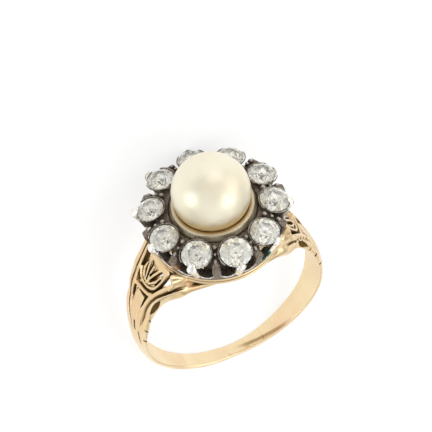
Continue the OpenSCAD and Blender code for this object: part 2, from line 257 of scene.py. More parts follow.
# Rods from the rails to the gallery plate, with their radius and how softly they join: a
# scroll at each corner, and a web that only the near corners have
SCROLL = [
    (5.2, 3.55, 7.4, 0.1), (4.8, 3.8, 7.8, 0.2), (4.2, 4.08, 8.25, 0.26), (3.4, 4.5, 8.68, 0.25),
    (2.6, 4.88, 9.04, 0.22), (1.7, 5.2, 9.3, 0.16)]
WEB = [
    (6.35, 2.95, 7.7, 0.08), (5.62, 3.3, 8.5, 0.18), (5.42, 2.95, 9.28, 0.34),
    (4.65, 3.62, 9.55, 0.34), (5.5, 3.2, 8.98, 0.28)]
SCROLL_SOFT, WEB_SOFT = 0.4, 0.45

# Half of the open arch under the plate, as place across the ring and height
ARCH = [(5.1, 6.7), (4.4, 7.9), (3.4, 8.85), (2, PLATE_BOTTOM)]

# Limits of the shoulders, the rods and the arch
SHOULDER_X = 3.2
SHOULDER_Z = (-1.5, 11.5)
ROD_X, ROD_Y, ROD_Z = 6.2, 2.8, 6
ARCH_X, ARCH_Z = 6, 2

# How far out of the metal a hollow is looked for, and how far into it an edge
HOLLOW_REACH = (0.18, 0.45, 0.9)
EDGE_REACH = (0.1, 0.22)

# A distance beyond all others, the corners of a cell, and one step along each axis
FAR = 1e3
CORNERS = [(i, j, k) for i in (0, 1) for j in (0, 1) for k in (0, 1)]
STEP = np.eye(3, dtype=int)


# Distances to shapes, in millimetres, for many points at once: negative inside the metal

def union(a, b, soft):
    """The nearer of two shapes, with a soft fillet of this size between them."""
    if soft <= 0:
        return np.minimum(a, b)
    h = np.clip(0.5 + 0.5 * (b - a) / soft, 0, 1)
    return b + (a - b) * h - soft * h * (1 - h)


def cut(a, b, soft):
    """What is left of a when b is taken away."""
    return -union(-a, b, soft)


def common(a, b, soft):
    """What lies in both shapes."""
    return -union(-a, -b, soft)


def segment(p, a, b, r_a=0.0, r_b=None):
    """A rod with round ends from a to b, for points p of any dimension."""
    a, b = np.asarray(a, float), np.asarray(b, float)
    along = b - a
    t = np.clip((p - a) @ along / (along @ along), 0, 1)
    r = r_a if r_b is None else r_a + (r_b - r_a) * t
    return np.linalg.norm(p - a - t[:, None] * along, axis=1) - r


def line_distance(q, line):
    """Distance of flat points q from an open line."""
    return np.minimum.reduce([segment(q, a, b) for a, b in zip(line, line[1:])])


def polygon(q, corners):
    """Signed distance of flat points q from a closed outline."""
    closed = corners + corners[:1]
    found = line_distance(q, closed)
    inside = np.zeros(len(q), bool)
    for a, b in zip(closed, closed[1:]):
        if a[1] != b[1]:
            crosses = (q[:, 1] >= min(a[1], b[1])) & (q[:, 1] < max(a[1], b[1]))
            x = a[0] + (q[:, 1] - a[1]) * (b[0] - a[0]) / (b[1] - a[1])
            inside ^= crosses & (q[:, 0] < x)
    return np.where(inside, -found, found)


def ramp(value, low, high):
    """0 below low and 1 above high, with a soft start and end."""
    t = np.clip((value - low) / (high - low), 0, 1)
    return t * t * (3 - 2 * t)


def follow(line, at, column=1):
    """Another number of a line's points, where the first is this."""
    columns = list(zip(*line))
    return np.interp(at, columns[0], columns[column])


def smooth_line(points, parts=5):
    """A curve through the points, with this many parts between each pair."""
    p = np.asarray(points, float)
    p = np.vstack([2 * p[0] - p[1], p, 2 * p[-1] - p[-2]])
    found = []
    for a, b, c, d in zip(p, p[1:], p[2:], p[3:]):
        for t in np.arange(parts) / parts:
            found.append(b + 0.5 * t * (c - a + t * (2 * a - 5 * b + 4 * c - d
                                                     + t * (3 * (b - c) + d - a))))
    return np.array(found + [p[-2]])


# Meshing: a solid's skin from its distance field

def at_corners(grid):
    """A grid's values at each corner of its cells."""
    n = grid.shape
    return [grid[i:n[0] - 1 + i, j:n[1] - 1 + j, k:n[2] - 1 + k] for i, j, k in CORNERS]


def skin(field, low, high, cell, coarse=4, near=0.8, chunk=400000):
    """Vertices and quads of a field's zero surface, worked out only near it."""
    low, high = np.asarray(low, float), np.asarray(high, float)
    blocks = np.ceil((high - low) / (cell * coarse)).astype(int)
    shape = blocks * coarse + 1
    lines = [low[k] + np.arange(blocks[k] + 1) * cell * coarse for k in range(3)]
    points = np.stack(np.meshgrid(*lines, indexing="ij"), -1).reshape(-1, 3)
    rough = field(points).reshape(blocks + 1)
    ends = at_corners(rough)
    keep = (np.minimum.reduce(ends) < near) & (np.maximum.reduce(ends) > -near)
    values = np.kron(rough, np.ones((coarse,) * 3))[:shape[0], :shape[1], :shape[2]]
    wanted = np.zeros(shape, bool)
    for i, j, k in np.argwhere(keep) * coarse:
        wanted[i:i + coarse + 1, j:j + coarse + 1, k:k + coarse + 1] = True
    index = np.argwhere(wanted)
    values[wanted] = np.concatenate([field(low + index[at:at + chunk] * cell)
                                     for at in range(0, len(index), chunk)])
    inside = values < 0
    ends = at_corners(inside)
    active = np.logical_or.reduce(ends) & ~np.logical_and.reduce(ends)
    where = np.argwhere(active)
    number = np.full(active.shape, -1, np.int64)
    number[active] = np.arange(len(where))
    total = np.zeros((len(where), 3))
    count = np.zeros(len(where))
    for a in map(np.array, CORNERS):
        for axis in np.flatnonzero(a == 0):
            b = a + STEP[axis]
            va, vb = values[tuple((where + a).T)], values[tuple((where + b).T)]
            hit = (va < 0) != (vb < 0)
            place = np.tile(a.astype(float), (hit.sum(), 1))
            place[:, axis] = va[hit] / (va[hit] - vb[hit])
            total[hit] += place
            count[hit] += 1
    verts = low + (where + total / count[:, None]) * cell
    quads = []
    for axis in range(3):
        aside = [(axis + 1) % 3, (axis + 2) % 3]
        du, dv = STEP[aside]
        edges = np.argwhere(np.diff(inside, axis=axis))
        edges = edges[((edges[:, aside] > 0) & (edges[:, aside] < shape[aside] - 1)).all(1)]
        ring = (edges - du - dv, edges - dv, edges, edges - du)
        face = np.stack([number[tuple(at.T)] for at in ring], 1)
        starts_inside = inside[tuple(edges.T)]
        face[~starts_inside] = face[~starts_inside][:, ::-1]
        quads.append(face)
    return verts, np.concatenate(quads)


def slope(field, verts, step=0.01):
    """Direction in which the field grows."""
    found = np.stack([field(verts + offset) - field(verts - offset)
                      for offset in np.eye(3) * step], 1)
    return found / (2 * step)


def settle(field, verts, limit, rounds=2):
    """Moves vertices onto the field's zero surface, by no more than limit."""
    for _ in range(rounds):
        g = slope(field, verts)
        size = np.maximum((g * g).sum(1), 0.2)
        move = -(field(verts) / size)[:, None] * g
        length = np.maximum(np.linalg.norm(move, axis=1), 1e-9)
        verts = verts + move * np.minimum(1, limit / length)[:, None]
    return verts


def moved(verts, frame_change):
    """Points taken from one frame to another."""
    m = np.array(frame_change)
    return verts @ m[:3, :3].T + m[:3, 3]


def new_object(name, data):
    made = bpy.data.objects.new(name, data)
    bpy.context.scene.collection.objects.link(made)
    return made


def new_piece(name, verts, faces, material):
    """A smooth object from vertices in the ring's frame."""
    mesh = bpy.data.meshes.new(name)
    mesh.from_pydata(moved(np.asarray(verts, float), RING).tolist(), [], faces)
    mesh.validate()
    mesh.shade_smooth()
    mesh.materials.append(material)
    mesh.update()
    return new_object(name, mesh)


def thin_out(piece, share):
    """Fewer triangles where the surface is flat."""
    piece.modifiers.new("thin", "DECIMATE").ratio = share
    graph = bpy.context.evaluated_depsgraph_get()
    mesh = bpy.data.meshes.new_from_object(piece.evaluated_get(graph))
    piece.modifiers.clear()
    old, piece.data = piece.data, mesh
    bpy.data.meshes.remove(old)
    mesh.shade_smooth()


def store(mesh, marks):
    """Keeps named numbers at a mesh's vertices, for its finish."""
    for label, found in marks.items():
        layer = mesh.attributes.new(label, "FLOAT", "POINT")
        layer.data.foreach_set("value", found.astype(np.float32))


def mark_wear_and_shade(piece, field, extra):
    """Stores how hollow and how edged the metal is at each vertex: the hollows take painted shade
    on the gold and tarnish on the silver.
    """
    mesh = piece.data
    co = np.empty(len(mesh.vertices) * 3)
    mesh.vertices.foreach_get("co", co)
    verts = moved(co.reshape(-1, 3), RING.inverted())
    g = slope(field, verts)
    g /= np.maximum(np.linalg.norm(g, axis=1), 1e-6)[:, None]
    store(mesh, {
        "hollow": sum(np.clip(1 - field(verts + g * reach) / reach, 0, 1) / len(HOLLOW_REACH)
                      for reach in HOLLOW_REACH),
        "edge": sum(np.clip(1 + field(verts - g * reach) / reach, 0, 1) / len(EDGE_REACH)
                    for reach in EDGE_REACH),
        **{label: found(verts) for label, found in extra.items()}})


def carved(name, field, low, high, share, material, extra):
    """A piece of metal from its distance field."""
    cell = look().cell
    verts, quads = skin(field, low, high, cell)
    verts = settle(field, verts, cell * 0.7)
    piece = new_piece(name, verts, quads.tolist(), material)
    thin_out(piece, share)
    mark_wear_and_shade(piece, field, extra)
    return piece


# Gold mount

def half_width(angle, far):
    """Half width of the band at an angle from the back, on its far or its near edge."""
    wear_and_shade = np.where(far, follow(FAR_EDGE, angle), follow(NEAR_EDGE, angle))
    return follow(SECTIONS, np.abs(angle)) + wear_and_shade


def band(p):
    """The shank and the uncarved shoulders."""
    x, y, z = p.T
    angle = np.degrees(np.arctan2(x, -z))
    side = np.abs(angle)
    half = half_width(angle, y > 0)
    deep = follow(SECTIONS, side, 2) - EDGE_T
    power = 2 / follow(SECTIONS, side, 3)
    power = power + (SQUARE_POWER * ramp(side, *SQUARE_FROM)
                     * (1 - ramp(side, *SQUARE_TO)))
    a = np.maximum(np.abs(y) / half, 1e-6)
    b = np.maximum((np.hypot(x, z) - BORE_R - EDGE_T) / deep, 1e-6)
    g = (a ** power + b ** power) ** (1 / power)
    shrink = g ** (1 - power)
    tilt = np.hypot(shrink * a ** (power - 1) / half, shrink * b ** (power - 1) / deep)
    return np.clip((g - 1) / np.maximum(tilt, 0.35), -1.2, 3)


def axes(side, angle):
    """Out of the ring and along it, at an angle from the back on this side."""
    turn = math.radians(180 - angle)
    return (np.array((side * math.sin(turn), 0, math.cos(turn))),
            np.array((-side * math.cos(turn), 0, math.sin(turn))))


def shoulders(p):
    """Each shoulder's side, the numbers of the points near it, and these points, their places
    on its face and their heights out of the face."""
    for side in (-1, 1):
        near = np.flatnonzero((p[:, 0] * side > SHOULDER_X) & (p[:, 2] > SHOULDER_Z[0])
                              & (p[:, 2] < SHOULDER_Z[1]))
        if len(near):
            part = p[near]
            out, up = axes(side, FACE_ANGLE)
            yield side, near, part, np.stack([part @ up, part[:, 1]], 1), part @ out - FACE_H


def ridge(q, line, half_w):
    """1 on a line of the face, falling roundly to 0 at half_w from it."""
    return np.sqrt(np.clip(1 - (line_distance(q, line) / half_w) ** 2, 0, 1))


def crease(q, line, half_w):
    """1 on a line of the face, falling softly to 0 at half_w from it."""
    return 1 - ramp(line_distance(q, line), 0, half_w)


def stipple(q, size):
    """1 in the small punched dots."""
    found = np.minimum.reduce([np.hypot(q[:, 0] - a, q[:, 1] - b) for a, b in STIPPLES])
    return 1 - ramp(found, 0.3 * size, size)


def relief(q, side):
    """How deep the carved face lies under the uncarved one."""
    s, y = q[:, 0], q[:, 1]
    near_rail, far_rail = follow(NEAR_RAIL, s), follow(FAR_RAIL, s)
    between = (ramp(y, near_rail + 0.15, near_rail + 0.28)
               * ramp(-y, -far_rail + 0.1, -far_rail + 0.2) * ramp(s, 0.1, 0.35))
    in_palmette = ramp(-polygon(q, PALMETTE_RIM + ABOVE_PALMETTE), -0.04, 0.06)
    tongue = (1 - ramp(s, 1.35, 1.6)) * ramp(y, -0.8, -0.68) * (1 - ramp(y, 0.72, 0.86))
    top = ramp(s, 4.7, 5.6)
    ground = GROUND_DEPTH * between * (1 - tongue) * (1 - in_palmette)
    ground = ground + PALMETTE_DEPTH * in_palmette * (1 - top)
    raised = [height * ridge(q, line, half_w) for line, height, half_w in RAISED]
    depth = ground * (1 - np.clip(np.maximum.reduce(raised), 0, 1))
    depth += 0.5 * np.clip(np.abs(y - near_rail), 0, 0.42) ** 2 * ramp(s, -1.5, 0)
    depth += 0.9 * np.clip(np.abs(y - far_rail), 0, 0.3) ** 2 * ramp(s, -1.0, 0)
    groove = crease(q, NEAR_GROOVE, 0.17) * ramp(s, -2.4, 0.4)
    depth += (GROOVE_DEPTH if side < 0 else WORN_GROOVE_DEPTH) * groove
    if side > 0:
        depth += DOT_DEPTH * stipple(q, 0.15)
    depth += GROOVE_DEPTH * crease(q, FAR_GROOVE, 0.2) * ramp(s, -3.5, -2)
    for line, deep, half_w, _, _ in FINE_LINES:
        depth += deep * crease(q, line, half_w)
    return depth


def pierced(q):
    """The open places of a shoulder's face."""
    return np.minimum.reduce([polygon(q, outline) for outline in OPENINGS]
                             + [line_distance(q, line) - half_w for line, half_w in RAY_SLOTS])


def almond(p, side, end):
    """The leaf sunk in the slope of a rail, and its outline."""
    out, along = axes(side, LEAF_ANGLE[side])
    away = np.array((0.0, end, 0.0))
    half = float(half_width(side * LEAF_ANGLE[side], end > 0))
    centre = out * (BORE_R + LEAF_OUT) + away * (half - LEAF_IN)
    along = along + LEAF_SLANT * away
    along /= np.linalg.norm(along)
    across_leaf = away * math.cos(LEAF_LEAN) - out * math.sin(LEAF_LEAN)
    normal = away * math.sin(LEAF_LEAN) + out * math.cos(LEAF_LEAN)
    d = p - centre
    a, b, c = d @ along, d @ across_leaf, d @ normal
    lens = np.hypot(a, np.abs(b) + LEAF_R - LEAF_HALF_W) - LEAF_R
    return np.maximum(lens, -c - LEAF_DEPTH), lens


def nick(p, side, end, angle, half_w):
    """A cut across one edge of the band."""
    out, along = axes(side, angle)
    d = p - out * BORE_R - np.array((0, end * float(half_width(side * angle, end > 0)), 0))
    return np.maximum(np.abs(d @ along) - half_w, -d[:, 1] * end - NICK_DEPTH)


def carve_shoulders(found, p):
    """Cuts the relief, the piercings, the leaves and the nicks into the band."""
    closed = HOLLOW_LINE + [(a, -b) for a, b in HOLLOW_LINE[::-1]]
    for side, near, part, q, out in shoulders(p):
        value = found[near] + relief(q, side) * ramp(out, -1.6, -0.9)
        value = cut(value, np.maximum(pierced(q), -out - PIERCED_TO), 0.08)
        back = np.maximum(polygon(q, closed), out + HOLLOW_FROM)
        value = cut(value, np.maximum(back, -out - HOLLOW_TO), 0.1)
        for end in (-1, 1):
            value = cut(value, almond(part, side, end)[0], 0.04)
            for place in NICKS[side]:
                value = cut(value, nick(part, side, end, *place), 0.04)
        found[near] = value


def add_rods(found, p):
    """Joins the scrolls and the webs to the shoulders."""
    near = np.flatnonzero((p[:, 2] > ROD_Z) & (np.abs(p[:, 0]) < ROD_X)
                          & (np.abs(p[:, 1]) > ROD_Y))
    part = np.abs(p[near])
    for points, soft in ((SCROLL, SCROLL_SOFT), (WEB, WEB_SOFT)):
        line = smooth_line(points)
        rod = np.minimum.reduce([segment(part, a[:3], b[:3], a[3], b[3])
                                 for a, b in zip(line, line[1:])])
        if points is WEB:
            rod[p[near, 1] > 0] = FAR
        found[near] = union(found[near], rod, soft)


def add_plate(found, p):
    """Joins the gallery plate, and drills the hole behind each stone."""
    near = np.flatnonzero(p[:, 2] > PLATE_BOTTOM - 1.2)
    x, y, z = p[near].T
    middle = (PLATE_TOP + PLATE_BOTTOM) / 2
    groove, groove_h = RIM_GROOVE
    rim_r = PLATE_R - groove * np.exp(-((z - middle) / groove_h) ** 2)
    plate = common(np.hypot(x, y) - rim_r, np.abs(z - middle) - (PLATE_TOP - PLATE_BOTTOM) / 2,
                   0.12)
    value = union(found[near], plate, 0.12)
    angles = np.radians(FIRST_STONE + np.arange(STONE_COUNT) * STONE_STEP + STONES[:, 2])
    turn = np.arctan2(y, x)
    off = np.abs((turn[:, None] - angles + math.pi) % (2 * math.pi) - math.pi)
    best = angles[off.argmin(1)]
    hole = np.hypot(x - CULET_CIRCLE_R * np.cos(best),
                    y - CULET_CIRCLE_R * np.sin(best)) - CULET_HOLE_R
    found[near] = cut(value, hole, 0.08)


def gold_field(p):
    """Distance of points from the gold mount."""
    found = band(p)
    carve_shoulders(found, p)
    opening = [(0.0, 0.0)] + ARCH + [(-x, z) for x, z in ARCH[::-1]]
    near = np.flatnonzero((p[:, 2] > ARCH_Z) & (np.abs(p[:, 0]) < ARCH_X))
    found[near] = cut(found[near], polygon(p[near][:, [0, 2]], opening), 0.1)
    add_rods(found, p)
    found = common(found, p[:, 2] - PLATE_TOP, 0.1)
    add_plate(found, p)
    return common(found, BORE_R - np.hypot(p[:, 0], p[:, 2]), 0.06)


def gold_stain_and_shade(p):
    """How much brown lies in the carving: grime in the grooves and lines, and painted shade where
    the carving lies deep.
    """
    found = np.zeros(len(p))
    for side, near, part, q, out in shoulders(p):
        s = q[:, 0]
        # The deep carving and the parts under the face are painted darker as shade; the grooves,
        # lines, dots, leaves and nicks hold brown
        marks = [(0.8 if side < 0 else 0.3) * crease(q, NEAR_GROOVE, 0.13) * ramp(s, -1.8, 0.4),
                 crease(q, FAR_GROOVE, 0.22) * ramp(s, -3.4, -2),
                 0.65 * ramp(relief(q, side), 0.06, 0.3),
                 0.45 * ramp(-out, 0.15, 0.5) * ramp(s, 0.3, 0.8)]
        marks += [stain * crease(q, line, half_w) for line, _, _, stain, half_w in FINE_LINES]
        if side > 0:
            marks.append(0.8 * stipple(q, 0.2))
        marks = [np.maximum.reduce(marks) * ramp(out, -1.2, -0.8)]
        for end in (-1, 1):
            leaf, lens = almond(part, side, end)
            marks.append(0.7 * ramp(-lens, -0.02, 0.04) * (np.abs(leaf) < 0.2))
            marks += [0.8 * (nick(part, side, end, *place) < 0.03) for place in NICKS[side]]
        found[near] = np.maximum.reduce(marks)
    return found


def gold_rubbed(p):
    """How much paler wear has made the gold: most at the back of the shank."""
    return 1 - ramp(p[:, 2], -4.5, 3)


# Silver head

def turned(x, y, angle):
    """Places along and across a line that leaves the middle at an angle."""
    return x * np.cos(angle) + y * np.sin(angle), -x * np.sin(angle) + y * np.cos(angle)


def silver_parts(p):
    """Distances of the head's wall, seats, lips, claws, grains, cuts and holes."""
    x, y, z = p.T
    turn = np.degrees(np.arctan2(y, x))
    row = np.round((turn - FIRST_STONE) / STONE_STEP).astype(int) % STONE_COUNT
    stone = STONES[row]
    even = np.radians(FIRST_STONE + row * STONE_STEP)
    radial, aside = turned(x, y, even + np.radians(stone[:, 2]))
    r = np.hypot(x, y)
    cuts = grains = np.full(len(p), FAR)
    for sign in (-1, 1):
        out, off = turned(x, y, even + math.radians(sign * CUT_TURN))
        u = np.where(z > CUT_Z, np.abs(off), np.hypot(off, z - CUT_Z)) - CUT_W / 2
        cuts = np.minimum(cuts, np.maximum(u, CUT_IN - out))
        spot = np.stack([*turned(x, y, even + sign * math.radians(STONE_STEP / 2)), z], 1)
        for start, end, size in GRAINS:
            grains = np.minimum(grains, segment(spot, start, end, size))
    stone_r = stone[:, 0] / 2 + STONE_GAP
    sx, sz = turned(radial - (STONE_CIRCLE_R + stone[:, 1]), z - HEAD_H, -STONE_TILT)
    rad = np.hypot(sx, aside)
    lip = np.hypot(rad - stone_r - LIP[0], sz + LIP[1]) - LIP[2]
    spread = stone[:, 3] * np.clip((z - HEAD_BASE) / (CLAW_Z - HEAD_BASE), 0, 1)
    local = np.stack([radial - spread, aside * CLAW_FLAT, z], 1)
    (foot, foot_r), (knee, knee_r), (tip, tip_r) = CLAW_FOOT, CLAW_KNEE, CLAW_TIP
    return {
        "row": row, "low": z < CUT_Z, "cuts": cuts, "grains": grains,
        "wall": polygon(np.stack([r, z], 1), HEAD_OUTLINE),
        "seat": np.maximum(rad - stone_r, -sz), "lip": np.maximum(lip, r - LIP_END_R),
        "claw": union(segment(local, foot, knee, foot_r, knee_r),
                      segment(local, knee, tip, knee_r, tip_r), 0.12),
        "space": polygon(np.stack([rad, sz], 1) / stone_r[:, None], STONE_SPACE) * stone_r,
        "hole": np.hypot(radial - CULET_CIRCLE_R, aside) - CULET_HOLE_R}


def silver_field(p):
    """Distance of points from the silver head."""
    part = silver_parts(p)
    found = part["wall"]
    for change, name, soft in ((cut, "seat", 0.05), (cut, "cuts", 0.06), (union, "lip", 0.06),
                               (union, "claw", 0.1), (union, "grains", 0.08),
                               (cut, "space", 0), (cut, "hole", 0.05)):
        found = change(found, part[name], soft)
    return common(found, HEAD_BASE - p[:, 2], 0.05)


def silver_shine_and_shade(p):
    """How rubbed the silver is: the claws, the grains, and the edges of cuts and seats, with
    painted shade that keeps the far claws dull.
    """
    part = silver_parts(p)
    # The far claws get less shine: painted shade
    claw = CLAW_SHINE_AND_SHADE[part["row"]] * (1 - ramp(part["claw"], 0.02, 0.1))
    grains = 0.4 * (1 - ramp(part["grains"], 0.0, 0.07)) * ramp(p[:, 2], 12.5, 12.8)
    lip = 0.15 * (1 - ramp(part["lip"], 0.0, 0.05))
    lip = np.maximum(lip, 0.9 * (part["seat"] < 0.05) * (1 - ramp(p[:, 2], 12.7, 12.9)))
    rim = 0.6 * (1 - ramp(np.abs(part["cuts"]), 0.03, 0.12)) * part["low"]
    rim *= ramp(np.hypot(p[:, 0], p[:, 1]), 5.9, 6.0)
    return np.maximum.reduce([claw, grains, lip, rim])


def green_spot(p):
    """Where a spot of green sits in one of the cuts."""
    return 1 - ramp(np.linalg.norm(p - GREEN_SPOT, axis=1), *GREEN_REACH)


# Finishes

class Val:
    """A number in a material, so that shader maths reads as an expression."""

    def __init__(self, finish, socket):
        self.finish, self.socket = finish, socket

    def __add__(self, other):
        return self.finish.math("ADD", self, other)

    def __sub__(self, other):
        return self.finish.math("SUBTRACT", self, other)

    def __rsub__(self, other):
        return self.finish.math("SUBTRACT", other, self)

    def __mul__(self, other):
        return self.finish.math("MULTIPLY", self, other)

    __radd__ = __add__
    __rmul__ = __mul__

    def clamp(self):
        return self.finish.value("ShaderNodeClamp", {}, {"Value": self})

    def between(self, low, high):
        """0 at low and 1 at high, with a soft start and end."""
        return self.finish.value(
            "ShaderNodeMapRange", {"interpolation_type": "SMOOTHSTEP"},
            {"Value": self, "From Min": low, "From Max": high})


class Finish:
    """A material round one Principled shader, with object coordinates to this scale."""

    def __init__(self, name, scale=1 / MM, **constants):
        self.material = bpy.data.materials.new(name)
        self.material.use_nodes = True
        self.tree = self.material.node_tree
        self.shader = next(n for n in self.tree.nodes if n.type == "BSDF_PRINCIPLED")
        for socket, value in constants.items():
            self.put(self.shader.inputs[socket.replace("_", " ")], value)
        coords = self.node("ShaderNodeTexCoord").outputs["Object"]
        self.place = self.vector("MULTIPLY", coords, (scale,) * 3)

    def put(self, socket, value):
        """Links a socket to a value in the material, or sets it to a number or a colour."""
        if isinstance(value, (Val, bpy.types.NodeSocket)):
            self.tree.links.new(getattr(value, "socket", value), socket)
        else:
            socket.default_value = (*value, 1) if socket.type == "RGBA" else value

    def node(self, kind, settings=None, inputs=None):
        """Any node, with its settings and what its inputs get."""
        made = self.tree.nodes.new(kind)
        for name, value in (settings or {}).items():
            setattr(made, name, value)
        for name, value in (inputs or {}).items():
            self.put(made.inputs[name], value)
        return made

    def value(self, kind, settings, inputs, output=0):
        """A node's output as a number for expressions."""
        return Val(self, self.node(kind, settings, inputs).outputs[output])

    def math(self, operation, *values):
        return self.value("ShaderNodeMath", {"operation": operation}, dict(enumerate(values)))

    def vector(self, operation, *values):
        return self.node("ShaderNodeVectorMath", {"operation": operation},
                         dict(enumerate(values))).outputs["Vector"]

    def ring_place(self):
        """Coordinates in the ring's own frame."""
        centre = Vector(BORE["pos_m"])
        return [self.value("ShaderNodeVectorMath", {"operation": "DOT_PRODUCT"},
                           {0: self.place, 1: tuple(axis)}, "Value") - axis.dot(centre) / MM
                for axis in (RING_X, RING_Y, RING_Z)]

    def copper(self):
        """How much of the copper colour shows, from 0 to 1."""
        shown = 0.0
        point = self.ring_place()
        for *centre, radius in COPPER_SPOTS:
            off = sum((at - middle) * (at - middle) for at, middle in zip(point, centre))
            shown = (1 - off.between(0.0, radius * radius)) + shown
        return shown * self.noise(4.0, 5, 0.7).between(0.38, 0.6)

    def noise(self, scale, detail=3.0, rough=0.55, place=None):
        return self.value("ShaderNodeTexNoise", {}, {
            "Vector": place or self.place, "Scale": scale, "Detail": detail,
            "Roughness": rough}, "Fac")

    def attribute(self, name):
        return self.value("ShaderNodeAttribute", {"attribute_name": name}, {}, "Fac")

    def mix(self, share, a, b):
        """A colour between a and b."""
        return self.node("ShaderNodeMix", {"data_type": "RGBA", "clamp_factor": True},
                         {"Factor": share, 6: a, 7: b}).outputs[2]

    def finished(self, color, roughness, height, strength, distance):
        """The material with its colour and roughness, and with a bump of this height."""
        bump = self.node("ShaderNodeBump", {}, {
            "Height": height, "Strength": strength, "Distance": distance})
        for name, value in (("Base Color", color), ("Roughness", roughness.clamp()),
                            ("Normal", bump.outputs["Normal"])):
            self.put(self.shader.inputs[name], value)
        return self.material


def gold_finish(look):
    f = Finish("rosy_gold", Metallic=1.0, Specular_IOR_Level=0.5)
    x, y, z = f.ring_place()
    # hollow brings painted shade into the gold's hollows, left off the back of the shank
    hollow, edge = f.attribute("hollow") * z.between(-6.5, -5.0), f.attribute("edge")
    cloud = f.noise(0.35, 4)
    grain = f.noise(6.0)
    # Painted shade in the hollows, with the carving's brown and some cloud, pulls the colour
    # towards gold_deep
    dirt_and_shade = (hollow * 1.5 + f.attribute("stain") * 0.75 + (cloud - 0.5) * 0.25
            - 0.42).between(0.0, 0.75)
    pale = cloud.between(0.35, 0.75) * 0.45 + f.attribute("rubbed") * 0.5
    base = f.mix(pale.clamp(), look.gold, look.gold_light)
    base = f.mix(f.noise(0.22, 2).between(0.5, 0.75) * 0.6, base, look.gold_rosy)
    wear_and_shade = f.mix((edge * 0.9).clamp(), base, look.gold_light)
    # A painted band of shade and dark reflection along the inside of the shank darkens the gold
    # there
    turn = f.math("ARCTAN2", x, z * -1)
    off = f.math("ABSOLUTE", y + turn * 1.15 + 0.04 + (cloud - 0.5) * 0.12)
    inner = 1 - (x * x + z * z).between((BORE_R + 0.03) ** 2, (BORE_R + 0.15) ** 2)
    shade_streak = (1 - off.between(0.05, 0.3)) * turn.between(-0.02, 0.2) * inner
    shade_streak = shade_streak * (1 - turn.between(0.5, 0.75)) * 0.8
    wear_and_shade = f.mix(shade_streak, wear_and_shade, look.gold_shade)
    wear_and_shade = f.mix((f.copper() * 0.85).clamp(), wear_and_shade, look.copper)
    scratch = f.noise(3.0, 2, 0.5, f.vector("MULTIPLY", f.place, (5.0, 1.0, 5.0)))
    return f.finished(f.mix(dirt_and_shade, wear_and_shade, look.gold_deep),
                      0.2 + cloud * 0.12 + dirt_and_shade * 0.35 + grain * 0.08,
                      grain * 0.8 + scratch * 0.2, 0.1, 0.00006)


def silver_finish(look):
    f = Finish("worn_silver", Metallic=1.0)
    hollow, edge = f.attribute("hollow"), f.attribute("edge")
    cloud = f.noise(1.1, 4)
    grain = f.noise(9.0)
    green = f.attribute("green") * cloud.between(0.35, 0.55)
    # rubbed here includes the painted shade that dulls the far claws
    wear_and_shade = (f.attribute("rubbed") * 1.1 + edge * 0.3 - hollow * 0.6 + (cloud - 0.5) * 0.5
            - green).between(0.15, 0.85)
    dull = f.mix((grain.between(0.3, 0.65) - hollow * 0.8).clamp(), look.silver_dark,
                 look.silver_tarnish)
    dull = f.mix(green, dull, look.verdigris)
    dull = f.mix(f.copper().clamp(), dull, look.copper)
    return f.finished(f.mix(wear_and_shade, dull, look.silver), 0.62 - wear_and_shade * 0.38 + (grain - 0.5) * 0.2,
                      grain * 0.6 + cloud * 0.4, 0.35, 0.0001)


def collar_finish(look):
    f = Finish("collar_metal", Metallic=1.0)
    cloud = f.noise(0.8, 4)
    grain = f.noise(7.0)
    rim = (f.attribute("rim") + (cloud - 0.5) * 0.5).clamp()
    # The side below the lip is painted darker as shade
    base = f.mix(rim, look.collar_painted_shade, look.collar)
    base = f.mix(f.attribute("bowl"), base, look.collar_bowl)
    return f.finished(f.mix(grain.between(0.55, 0.8) * 0.5, base, look.silver),
                      0.36 + cloud * 0.16, grain, 0.3, 0.00008)


def pearl_finish(look):
    f = Finish("pearl", Metallic=0.5, Coat_Weight=0.3, Coat_Roughness=0.3, Coat_IOR=1.45,
               Specular_IOR_Level=0.5)
    haze = f.noise(2.5, 4)
    base = f.mix(f.noise(0.35).between(0.35, 0.7), look.pearl, look.pearl_warm)
    # The pearl's underside takes a painted reflection of the gold below it
    base = f.mix(f.attribute("low"), base, look.pearl_gold_reflection)
    return f.finished(base, 0.34 + haze * 0.1, haze, 0.05, 0.0001)


def stone_finish(look):
    """Each facet gets a random brightness from the direction that it faces: painted sparkle."""
    f = Finish("old_cut_stone", Transmission_Weight=1.0, IOR=2.42)
    normal = f.node("ShaderNodeNewGeometry").outputs["True Normal"]
    spread = f.vector("MULTIPLY", normal, (37.0, 37.0, 37.0))
    facet = f.value("ShaderNodeTexWhiteNoise", {"noise_dimensions": "3D"},
                    {"Vector": f.vector("SNAP", spread, (2.0, 2.0, 2.0))}, "Value")
    # Painted sparkle: facets lighter and darker at random
    facet_sparkle = (facet * 0.7 + f.noise(1.6, 4) * 0.3).clamp()
    return f.finished(f.mix(facet_sparkle, look.stone_sparkle_dark, look.stone), 0.06 + facet * 0.1,
                      f.noise(2.6), 0.25, 0.00006)


def floor_finish():
    f = Finish("pale_floor", 1.0, Roughness=0.9, Specular_IOR_Level=0.1,
               Emission_Color=(1, 1, 1), Emission_Strength=0.73)
    f.put(f.shader.inputs["Base Color"], f.mix(f.noise(3.0, 2), (0.31,) * 3, (0.33,) * 3))
    return f.material


# Settings

def color(name, where, value):
    return FloatVectorProperty(name=name, description="Colour of " + where, default=value,
                               size=3, min=0.0, max=1.0, subtype="COLOR")


